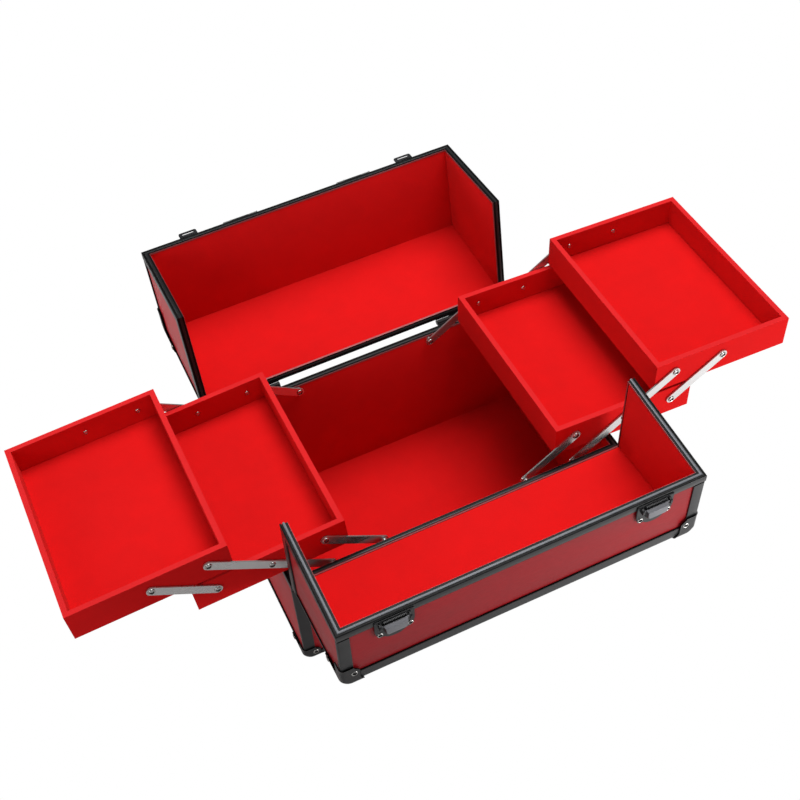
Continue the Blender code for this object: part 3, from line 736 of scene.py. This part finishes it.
# Latches, strikes and handle ----------------------------------------------------------------

def latch_outline():
    half = [(19.0, 3.0, 1.0), (19.0, 20.0, 2.0), (16.5, 30.0, 2.5), (10.8, 31.0, 1.0)]
    for i in range(1, 9):
        angle = math.pi / 2 * i / 8
        half.append((10.5 * math.cos(angle), 29.5 + 6.5 * math.sin(angle), 0.0))
    return fillet(half + [(-x, d, r) for x, d, r in reversed(half[:-1])])


def inset_ring(points, along, across, height):
    """The outline drawn in towards its middle along x and y, at a height."""
    xs = [p[0] for p in points]
    ys = [p[1] for p in points]
    middle = Vector(((min(xs) + max(xs)) / 2, (min(ys) + max(ys)) / 2))
    half = Vector(((max(xs) - min(xs)) / 2, (max(ys) - min(ys)) / 2))
    return [(middle.x + (x - middle.x) * (1 - along / half.x),
             middle.y + (y - middle.y) * (1 - across / half.y), height) for x, y in points]


def build_latch(end, x):
    place = LIDS["front"][0]
    low, high = GAP, GAP + FLANGE
    outline = latch_outline()
    rings = [[on_front(x + px, d, low) for px, d in outline],
             [on_front(x + px, d, high - 0.35) for px, d in outline]]
    middle = 17.0
    rings.append([on_front(x + px * 0.982, middle + (d - middle) * 0.982, high)
                  for px, d in outline])
    bits = [loft(rings)]
    cheek = fillet([(-3.4, high - 0.4), (3.4, high - 0.4), (2.6, LEVER_AXIS_UP + 2.2, 1.8),
                    (-2.6, LEVER_AXIS_UP + 2.2, 1.8)], steps=5)
    for side in (-1, 1):
        ends = span(x + side * LEVER_LUG, x + side * (LEVER_LUG + LUG_WIDTH))
        bits.append(prism(cheek, lambda p, i, ends=ends: on_front(
            ends[i], LEVER_AXIS_IN - p[0], p[1])))
    # the serrated strip between the rim and the lever
    tooth = fillet([(-0.55, high - 0.3), (0.55, high - 0.3), (0.45, high + 1.9, 0.35),
                    (-0.45, high + 1.9, 0.35)], steps=3)
    for i in range(-7, 8):
        bits.append(prism(tooth, lambda p, k, i=i: on_front(
            x + i * TOOTH_PITCH + p[0], (4.3, 6.5)[k], p[1])))
    piece(f"latch_base_{end}", joined(*bits), [LATCH], "front_lid", place,
          stands_for=[f"latch_plate_{end}"], sharp=28)
    studs = [tube_rivet(on_front(x + side * 14.4, 25.6, high), (0, 0, 1), 2.9, 0.8)
             for side in (-1, 1)]
    piece(f"latch_rivets_{end}", joined(*studs), [RIVET, HOLLOW_SHADE], "front_lid", place)

    foot = high + GAP - LEVER_AXIS_UP
    crown = foot + LEVER_CROWN
    outline = fillet([(-11.8, 2.9, 0.8), (11.8, 2.9, 0.8), (11.2, -9.5, 2.0),
                      (9.4, -12.8, 1.5), (-9.4, -12.8, 1.5), (-11.2, -9.5, 2.0)], steps=5)
    rings = [inset_ring(outline, 0.0, 0.0, foot),
             inset_ring(outline, 0.0, 0.0, foot + 1.5),
             inset_ring(outline, 0.35, 0.35, foot + 1.9),
             inset_ring(outline, 1.3, 2.6, crown - 0.55),
             inset_ring(outline, 1.5, 2.9, crown - 0.15),
             inset_ring(outline, 2.0, 3.4, crown)]
    # the toe is rounded about the pin, so that it clears the plate as the lever turns
    for ring in rings[:3]:
        toe = math.sqrt(max(foot ** 2 - ring[0][2] ** 2, 0.0))
        ring[:] = [(px, min(py, toe), z) for px, py, z in ring]
    cap = loft(rings)
    # painted light: the crown and the slope towards the rim, which face the light, are pale as a
    # painted highlight, and the other slopes dark as painted shade
    for face in cap.faces:
        _, across, up = face.calc_center_median()
        lit_face = up > crown - 0.6 or (up > foot + 1.95 and across > 0)
        face.material_index = 0 if lit_face else 1
    pin = turned([(0.95, 0), (0.95, 30.0)], (-15.0, 0, 0), (1, 0, 0), 16)
    lever_place = place @ at(*on_front(x, LEVER_AXIS_IN, LEVER_AXIS_UP))
    piece(f"latch_cap_{end}", joined(cap, pin), [PALE_CAP_HIGHLIGHT, LATCH],
          f"latch_lever_{end}", lever_place, stands_for=[f"latch_lever_{end}"],
          sharp=28)


def build_strike(end, x):
    place = LIDS["back"][0]

    def box_on(x0, x1, d0, d1, h0, h1):
        a, b = on_back(x0, d1, h0), on_back(x1, d0, h1)
        return box([min(p, q) for p, q in zip(a, b)], [max(p, q) for p, q in zip(a, b)])

    foot = box_on(x - 10, x + 10, 0.6, 15, GAP, GAP + FLANGE)
    # the tab is a frame round a slot
    outer = fillet([(-10, GAP), (10, GAP), (10, 8.6, 2.2), (-10, 8.6, 2.2)], steps=5)
    inner = fillet([(-6.4, 3.7, 0.8), (6.4, 3.7, 0.8), (6.4, 6.5, 0.8), (-6.4, 6.5, 0.8)],
                   steps=5)
    block = bmesh.new()
    layers = []
    for depth in (0.6, 0.6 + FLANGE):
        layers.append([[block.verts.new(on_back(x + px, depth, h)) for px, h in ring]
                       for ring in (outer, inner)])
    for rings in layers:
        edges = []
        for ring in rings:
            for i, vert in enumerate(ring):
                edges.append(block.edges.new((vert, ring[(i + 1) % len(ring)])))
        bmesh.ops.triangle_fill(block, use_beauty=True, use_dissolve=False, edges=edges)
    for which in (0, 1):
        near, far = layers[0][which], layers[1][which]
        for i in range(len(near)):
            j = (i + 1) % len(near)
            block.faces.new((near[i], near[j], far[j], far[i]))
    piece(f"strike_plate_{end}", joined(foot, block), [STRIKE], "back_lid", place,
          stands_for=[f"strike_{end}"], soften=0.25)
    studs = [dome_rivet(on_back(x + step, 9.5, GAP + FLANGE), (0, 0, 1), 2.2, 0.8)
             for step in (-5, 5)]
    piece(f"strike_rivets_{end}", joined(*studs), [RIVET, HOLLOW_SHADE], "back_lid", place)


def build_handle():
    place = LIDS["back"][0]
    ear = fillet([(-4.6, GAP + 0.8), (4.6, GAP + 0.8), (4.6, HANDLE_AXIS_UP + 3.6, 4.2),
                  (-4.6, HANDLE_AXIS_UP + 3.6, 4.2)], steps=8)
    for end, side in (("left", 1), ("right", -1)):
        x = side * BRACKET_X
        reach = EAR_SPACING / 2 + EAR_WIDTH / 2
        plate = fillet([(x - reach, 3.0, 2.0), (x + reach, 3.0, 2.0), (x + reach, 19.0, 4.0),
                        (x - reach, 19.0, 4.0)], steps=5)
        bits = [prism(plate, lambda p, i: on_back(p[0], p[1], (GAP, GAP + FLANGE)[i]))]
        for step in (-1, 1):
            middle = x + step * EAR_SPACING / 2
            bits.append(prism(ear, lambda p, i, middle=middle: on_back(
                middle + (-EAR_WIDTH / 2, EAR_WIDTH / 2)[i], HANDLE_AXIS_IN - p[0], p[1])))
        piece(f"handle_mount_{end}", joined(*bits), [ZINC], "back_lid", place,
              stands_for=[f"handle_bracket_{end}"], soften=0.45, steps=3)
        studs = [dome_rivet(on_back(x + step, 16.0, GAP + FLANGE), (0, 0, 1), 2.2, 0.8)
                 for step in (-15.0, 0.0, 15.0)]
        piece(f"handle_mount_rivets_{end}", joined(*studs), [RIVET, HOLLOW_SHADE], "back_lid", place)

    hang = place @ at(*on_back(0, HANDLE_AXIS_IN, HANDLE_AXIS_UP)) @ turn(180 - LID_OPEN, "X")
    corner = BRACKET_X - HANDLE_BEND
    half = [(BRACKET_X, 0.0), (BRACKET_X, 12.0), (BRACKET_X, HANDLE_DROP - HANDLE_BEND)]
    for i in range(1, 9):
        angle = math.pi / 2 * i / 8
        half.append((corner + HANDLE_BEND * math.cos(angle),
                     HANDLE_DROP - HANDLE_BEND + HANDLE_BEND * math.sin(angle)))
    half += [(x, HANDLE_DROP) for x in (GRIP_HALF + 2, GRIP_HALF, 30.0, 15.0)]
    route = half + [(0.0, HANDLE_DROP)] + [(-x, d) for x, d in reversed(half)]
    rings = []
    for i, (x, drop) in enumerate(route):
        before, after = route[max(0, i - 1)], route[min(len(route) - 1, i + 1)]
        along = Vector((after[0] - before[0], after[1] - before[1])).normalized()
        across = Vector((-along.y, along.x))
        grip = abs(x) <= GRIP_HALF and drop == HANDLE_DROP
        wide, thick = (GRIP_RADIUS, GRIP_RADIUS) if grip else (3.3, 3.5)
        ring = []
        for k in range(20):
            angle = math.tau * k / 20
            a, b = wide * math.cos(angle), thick * math.sin(angle)
            ring.append((x + across.x * a, b, drop + across.y * a))
        rings.append(ring)
    bits = [loft(rings)]
    wide = EAR_SPACING / 2 - EAR_WIDTH / 2 - GAP
    for side in (-1, 1):
        boss = [(3.6, 0), (4.1, 0.6), (4.1, 2 * wide - 0.6), (3.6, 2 * wide)]
        bits.append(turned(boss, (side * BRACKET_X - wide, 0, 0), (1, 0, 0), 24))
        bits.append(turned([(RIVET_SHANK, 0), (RIVET_SHANK, 2 * wide + 12)],
                           (side * BRACKET_X - wide - 6, 0, 0), (1, 0, 0), 16))
    # finger ribs along the grip
    rib = [(GRIP_RADIUS + out, x) for out, x in (
        (-0.05, -0.9), (0.07, -0.45), (0.07, 0.45), (-0.05, 0.9))]
    for i in range(-6, 7):
        bits.append(turned(rib, (i * RIB_PITCH, 0, HANDLE_DROP), (1, 0, 0), 20))
    piece("carry_handle_grip", joined(*bits), [GRIP], "carry_handle", hang,
          stands_for=["carry_handle"])


# Trays and arms -----------------------------------------------------------------------------

def tray_block():
    x0, x1 = -FIRST_PIVOT, TRAY_LENGTH - FIRST_PIVOT
    low, high = -TRAY_PIVOT_HEIGHT, TRAY_HEIGHT - TRAY_PIVOT_HEIGHT

    def ring(inset, z):
        y = TRAY_FACE - inset
        return [(x0 + inset, -y, z), (x1 - inset, -y, z), (x1 - inset, y, z), (x0 + inset, y, z)]

    block = loft([ring(0, low), ring(0, high), ring(TRAY_WALL, high),
                  ring(TRAY_WALL, low + TRAY_FLOOR)])
    round_edges(block, 0.9, 3)
    # the tops of the walls take the lighter flock as a painted highlight
    for face in block.faces:
        if face.calc_center_median().z > high - 0.5:
            face.material_index = 1
    return block


def arm_block(stations, at_body):
    radius = ARM_WIDTH / 2
    length = stations[-1] * ARM_REACH
    outline = []
    for middle, start in ((length, -90), (0.0, 90)):
        for i in range(17):
            angle = math.radians(start + 180 * i / 16)
            outline.append((middle + radius * math.cos(angle), radius * math.sin(angle)))
    plate = prism(outline, lambda p, end: (p[0], (-ARM_OUTER, -ARM_INNER)[end], p[1]))
    round_edges(plate, 0.3, 2, 40)
    bits = [plate]
    for station in stations:
        x = station * ARM_REACH
        if at_body and station == 0:
            wall = (HALF_DEPTH - BOARD_INNER - LINING) * (
                1 - BODY_TAPER / HALF_DEPTH * (1 - BODY_PIVOT_Z / BODY_HEIGHT))
            bits.append(turned([(SPACER_RADIUS, 0), (SPACER_RADIUS, wall - ARM_OUTER + 0.3)],
                               (x, 0.2 - ARM_OUTER, 0), (0, -1, 0), 24))
            head = tube_rivet((x, -ARM_INNER, 0), (0, 1, 0), RIVET_HEAD, 1.0)
        else:
            head = tube_rivet((x, -ARM_OUTER, 0), (0, -1, 0), RIVET_HEAD, 1.1)
            inside = TRAY_FACE - TRAY_WALL
            bits.append(turned([(RIVET_SHANK, 0), (RIVET_SHANK, TRAY_WALL + 1.0)],
                               (x, -ARM_INNER, 0), (0, 1, 0), 16))
            bits.append(next_materials(tube_rivet((x, -inside, 0), (0, 1, 0), 2.6, 0.9)))
        bits.append(next_materials(head))
    return joined(*bits)


def placed(block, turned_over, mirrored):
    for vert in block.verts:
        x, y, z = vert.co
        if turned_over:
            y, z = -y, -z
        if mirrored:
            x, z = -x, -z
        vert.co = (x, y, z)
    return block


def build_trays():
    for name, side in (("left", -1), ("right", 1)):
        tilt = math.degrees(-side * (ARM_TILT - TRAY_DROOP))
        droop = math.degrees(side * TRAY_DROOP)
        arms = (("long", 0.0, 0.0, (0, 1, 2), True),
                ("inner", -PIVOT_STEP, 0.0, (0, 1), True),
                ("outer", ARM_RUN + PIVOT_STEP, ARM_RISE, (0, 1), False))
        for kind, along, up, stations, at_body in arms:
            place = at(*linkage(side, along, up)) @ turn(tilt, "Y")
            for face, over in (("front", False), ("back", True)):
                piece(f"{name}_{kind}_strap_{face}",
                      placed(arm_block(stations, at_body), over, side < 0),
                      [STEEL, RIVET, HOLLOW_SHADE], f"{name}_{kind}_arms", place,
                      stands_for=[f"{name}_{kind}_arm_{face}"])
        for tier, along, up, back in (("lower", ARM_RUN, ARM_RISE, PIVOT_STEP),
                                      ("upper", 2 * ARM_RUN, 2 * ARM_RISE, 0.0)):
            place = at(*linkage(side, along, up)) @ turn(droop, "Y")

            def across(point, side=side, back=back):
                return (side * (point[0] - back), point[1], point[2])

            body = f"{name}_{tier}_tray"
            piece(f"{body}_box", tray_block(), [FLOCK, FLOCK_TOP_HIGHLIGHT], body, place, across, [body])
            inset = TRAY_WALL + 0.25
            floor = TRAY_FLOOR - TRAY_PIVOT_HEIGHT
            lining_board(f"{body}_lining", (inset - FIRST_PIVOT, inset - TRAY_FACE, floor - 0.1),
                         (TRAY_LENGTH - FIRST_PIVOT - inset, TRAY_FACE - inset, floor + 0.7),
                         body, place, across)


# The CAD's own parts that stay --------------------------------------------------------------

def dress_nodes():
    for name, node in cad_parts.items():
        if name.endswith("_panel"):
            ends = name.endswith(("left_panel", "right_panel"))
            # the end panels take the lighter laminate, painted light for the side light on them
            kind = LAMINATE_END_LIT if ends else LAMINATE
        elif "_hinge_" in name:
            kind = HINGE
        else:
            continue
        for slot in node.material_slots:
            slot.link = "OBJECT"
            slot.material = kind


# Floor, light and camera --------------------------------------------------------------------

def build_studio():
    bpy.ops.mesh.primitive_plane_add(size=8.0, location=(0, 0, 0))
    floor = bpy.context.object
    floor.name = "studio_floor"
    white = finish("studio_white", (0.35, 0.35, 0.35), 0.9, vary=0.0, scale=3, bump=0.0,
                   specular=0.0)
    tree = white.node_tree
    shader = tree.nodes["Principled BSDF"]
    # the sweep is pure white to the camera and lights the case more from the right
    where = tree.nodes.new("ShaderNodeTexCoord")
    split = tree.nodes.new("ShaderNodeSeparateXYZ")
    ramp = tree.nodes.new("ShaderNodeMapRange")
    for key, value in (("From Min", -0.30), ("From Max", 0.45), ("To Min", 0.10),
                       ("To Max", 0.85)):
        ramp.inputs[key].default_value = value
    tree.links.new(where.outputs["Object"], split.inputs[0])
    tree.links.new(split.outputs["X"], ramp.inputs["Value"])
    shader.inputs["Emission Color"].default_value = (1, 1, 1, 1)
    tree.links.new(ramp.outputs["Result"], shader.inputs["Emission Strength"])
    paper = tree.nodes.new("ShaderNodeEmission")
    seen = tree.nodes.new("ShaderNodeLightPath")
    mixed = tree.nodes.new("ShaderNodeMixShader")
    output = tree.nodes["Material Output"]
    tree.links.new(seen.outputs["Is Camera Ray"], mixed.inputs[0])
    tree.links.new(shader.outputs[0], mixed.inputs[1])
    tree.links.new(paper.outputs[0], mixed.inputs[2])
    tree.links.new(mixed.outputs[0], output.inputs["Surface"])
    floor.data.materials.append(white)

    world = bpy.data.worlds.new("studio")
    bpy.context.scene.world = world
    world.use_nodes = True
    tree = world.node_tree
    sky = tree.nodes["Background"]
    sky.inputs["Color"].default_value = (1, 1, 1, 1)
    # the sky is white to the camera too, and only faint to the case
    seen = tree.nodes.new("ShaderNodeLightPath")
    level = tree.nodes.new("ShaderNodeMapRange")
    level.inputs["To Min"].default_value = 0.18
    level.inputs["To Max"].default_value = 1.0
    tree.links.new(seen.outputs["Is Camera Ray"], level.inputs["Value"])
    tree.links.new(level.outputs["Result"], sky.inputs["Strength"])

    def softbox(name, place, target, size, watts):
        lamp = bpy.data.lights.new(name, "AREA")
        lamp.shape = "RECTANGLE"
        lamp.size, lamp.size_y = size
        lamp.energy = watts
        made = bpy.data.objects.new(name, lamp)
        bpy.context.scene.collection.objects.link(made)
        made.location = place
        made.visible_camera = False
        made.rotation_euler = (Vector(target) - Vector(place)).to_track_quat(
            "-Z", "Y").to_euler()

    softbox("overhead", (0.45, 0.30, 2.2), (0.1, 0, 0.1), (1.6, 1.4), 52)
    softbox("front_fill", (-1.7, -1.2, 1.1), (0, 0, 0.15), (1.2, 1.0), 9)
    softbox("left_back", (-0.75, 0.75, 0.35), (-0.19, 0.2, 0.22), (0.5, 0.4), 3.5)
    softbox("right_low", (0.45, -0.68, 0.12), (0.14, -0.26, 0.11), (0.35, 0.2), 2.4)

    camera = bpy.data.cameras.new("camera")
    camera.sensor_width = 36.0
    camera.lens = 60.89
    camera.shift_x = -0.0080
    camera.shift_y = 0.0039
    made = bpy.data.objects.new("camera", camera)
    bpy.context.scene.collection.objects.link(made)
    made.location = (-0.3226, -0.8520, 1.2387)
    made.rotation_euler = [math.radians(angle) for angle in (41.074, 3.842, -25.208)]
    bpy.context.scene.camera = made
    bpy.context.scene.view_settings.view_transform = "Standard"


build_studio()
dress_nodes()
line_body()
build_body_frame()
for lid in ("front", "back"):
    line_lid(lid)
    build_lid_frame(lid)
build_hinge_rivets()
for latch_end, latch_side in (("left", -1), ("right", 1)):
    build_latch(latch_end, latch_side * LATCH_X)
    build_strike(latch_end, -latch_side * STRIKE_X)
build_handle()
build_trays()

bpy.context.view_layer.update()
